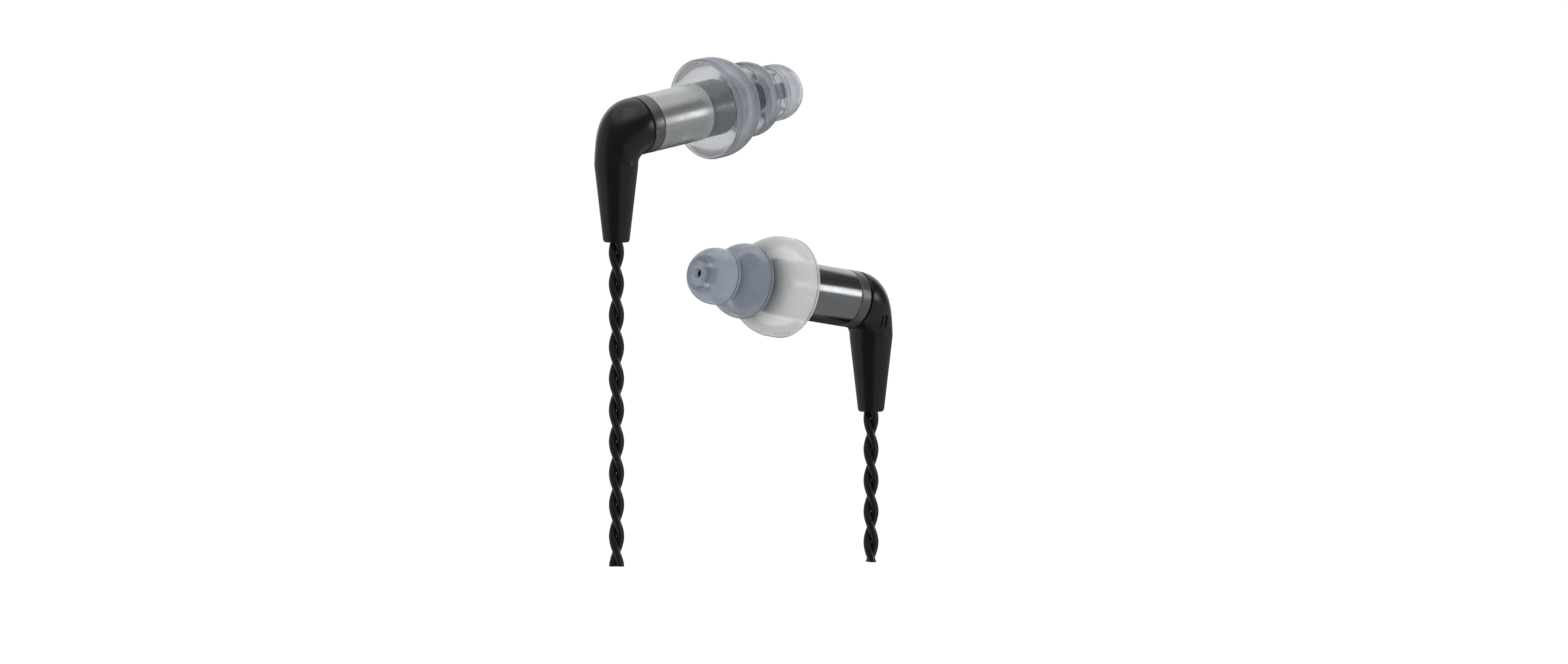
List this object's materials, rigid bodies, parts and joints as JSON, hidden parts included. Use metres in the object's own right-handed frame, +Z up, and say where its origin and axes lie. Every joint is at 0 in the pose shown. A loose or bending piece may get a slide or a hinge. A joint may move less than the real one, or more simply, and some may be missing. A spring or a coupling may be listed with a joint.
{
  "type": "in ear monitors",
  "caption": "Facing in ear monitor earpieces with slim barrels, triple flange ear tips, right angle swivel plugs and short twisted leads.",
  "frame": {"origin": "midway between the two leads, level with the left lead's cut end", "axes": "+X runs from the right earpiece to the left one, +Z is up along the hanging leads, and the ear tips face each other along X"},
  "size_m": [0.0462, 0.0118, 0.0604],
  "materials": {
    "barrel_silver": "satin, brushed along its length",
    "nozzle_grey": "satin dark grey",
    "collar_gunmetal": "satin gunmetal",
    "boot_rubber": "matt",
    "driver_steel": "brushed",
    "copper": "bright copper",
    "motor_steel": "dull nickel iron",
    "magnet_grey": "nickel plated",
    "diaphragm_foil": "thin foil",
    "board_green": "solder mask",
    "gold": "gold plated",
    "ptfe": "waxy white",
    "mesh_grey": "fine woven",
    "tip_silicone": "translucent frosted silicone",
    "spring_steel": "bright",
    "core_plastic": "hard moulding",
    "elbow_soft": "satin soft touch",
    "lead_black": "satin jacket"
  },
  "bodies": {
    "right_earpiece": {"right_barrel": "barrel_silver", "right_nozzle": "nozzle_grey", "right_rear_ring": "collar_gunmetal", "right_driver_boot": "boot_rubber", "right_driver_case": "driver_steel", "right_driver_cover": "driver_steel", "right_driver_coil": "copper", "right_driver_yoke": "motor_steel", "right_driver_magnets": "magnet_grey", "right_driver_reed": "motor_steel", "right_driver_diaphragm": "diaphragm_foil", "right_drive_pin": "motor_steel", "right_driver_wires": "copper", "right_terminal_board": "board_green", "right_jack_shell": "gold", "right_jack_insulator": "ptfe", "right_jack_contact": "gold", "right_filter_cup": "gold", "right_filter_mesh": "mesh_grey"},
    "right_tip": {"right_ear_tip": "tip_silicone"},
    "right_ring": {"right_snap_ring": "spring_steel"},
    "right_plug": {"right_plug_shell": "gold", "right_plug_insulator": "ptfe", "right_plug_pin": "gold", "right_elbow_core": "core_plastic", "right_elbow_cover": "elbow_soft", "right_plug_wires": "lead_black"},
    "right_lead": {"right_lead_jackets": "lead_black", "right_lead_cores": "copper"},
    "left_earpiece": {"left_barrel": "barrel_silver", "left_nozzle": "nozzle_grey", "left_rear_ring": "collar_gunmetal", "left_driver_boot": "boot_rubber", "left_driver_case": "driver_steel", "left_driver_cover": "driver_steel", "left_driver_coil": "copper", "left_driver_yoke": "motor_steel", "left_driver_magnets": "magnet_grey", "left_driver_reed": "motor_steel", "left_driver_diaphragm": "diaphragm_foil", "left_drive_pin": "motor_steel", "left_driver_wires": "copper", "left_terminal_board": "board_green", "left_jack_shell": "gold", "left_jack_insulator": "ptfe", "left_jack_contact": "gold", "left_filter_cup": "gold", "left_filter_mesh": "mesh_grey"},
    "left_tip": {"left_ear_tip": "tip_silicone"},
    "left_ring": {"left_snap_ring": "spring_steel"},
    "left_plug": {"left_plug_shell": "gold", "left_plug_insulator": "ptfe", "left_plug_pin": "gold", "left_elbow_core": "core_plastic", "left_elbow_cover": "elbow_soft", "left_plug_wires": "lead_black"},
    "left_lead": {"left_lead_jackets": "lead_black", "left_lead_cores": "copper"}
  },
  "joints": [
    {"name": "ear_spread", "type": "slide", "parent": "right_earpiece", "child": "left_earpiece", "axis": [1, 0, 0], "range_m": [0, 0.13]},
    {"name": "right_tip_pull", "type": "slide", "parent": "right_earpiece", "child": "right_tip", "axis": [0.9882, 0, 0.153], "range_m": [0, 0.008]},
    {"name": "right_unplug", "type": "slide", "parent": "right_earpiece", "child": "right_ring", "axis": [-0.9882, 0, -0.153], "range_m": [0, 0.006]},
    {"name": "right_swivel", "type": "hinge", "parent": "right_ring", "child": "right_plug", "pos_m": [-0.0205, 0, 0.0521], "axis": [0.9882, 0, 0.153], "continuous": true},
    {"name": "right_lead_flex", "type": "hinge", "parent": "right_plug", "child": "right_lead", "pos_m": [-0.0205, 0, 0.03915], "axis": [0, -1, 0], "range_deg": [-35, 35]},
    {"name": "left_tip_pull", "type": "slide", "parent": "left_earpiece", "child": "left_tip", "axis": [-0.9882, 0, 0.153], "range_m": [0, 0.008]},
    {"name": "left_unplug", "type": "slide", "parent": "left_earpiece", "child": "left_ring", "axis": [0.9882, 0, -0.153], "range_m": [0, 0.006]},
    {"name": "left_swivel", "type": "hinge", "parent": "left_ring", "child": "left_plug", "pos_m": [0.0205, 0, 0.0308], "axis": [-0.9882, 0, 0.153], "continuous": true},
    {"name": "left_lead_flex", "type": "hinge", "parent": "left_plug", "child": "left_lead", "pos_m": [0.0205, 0, 0.01785], "axis": [0, 1, 0], "range_deg": [-35, 35]}
  ]
}
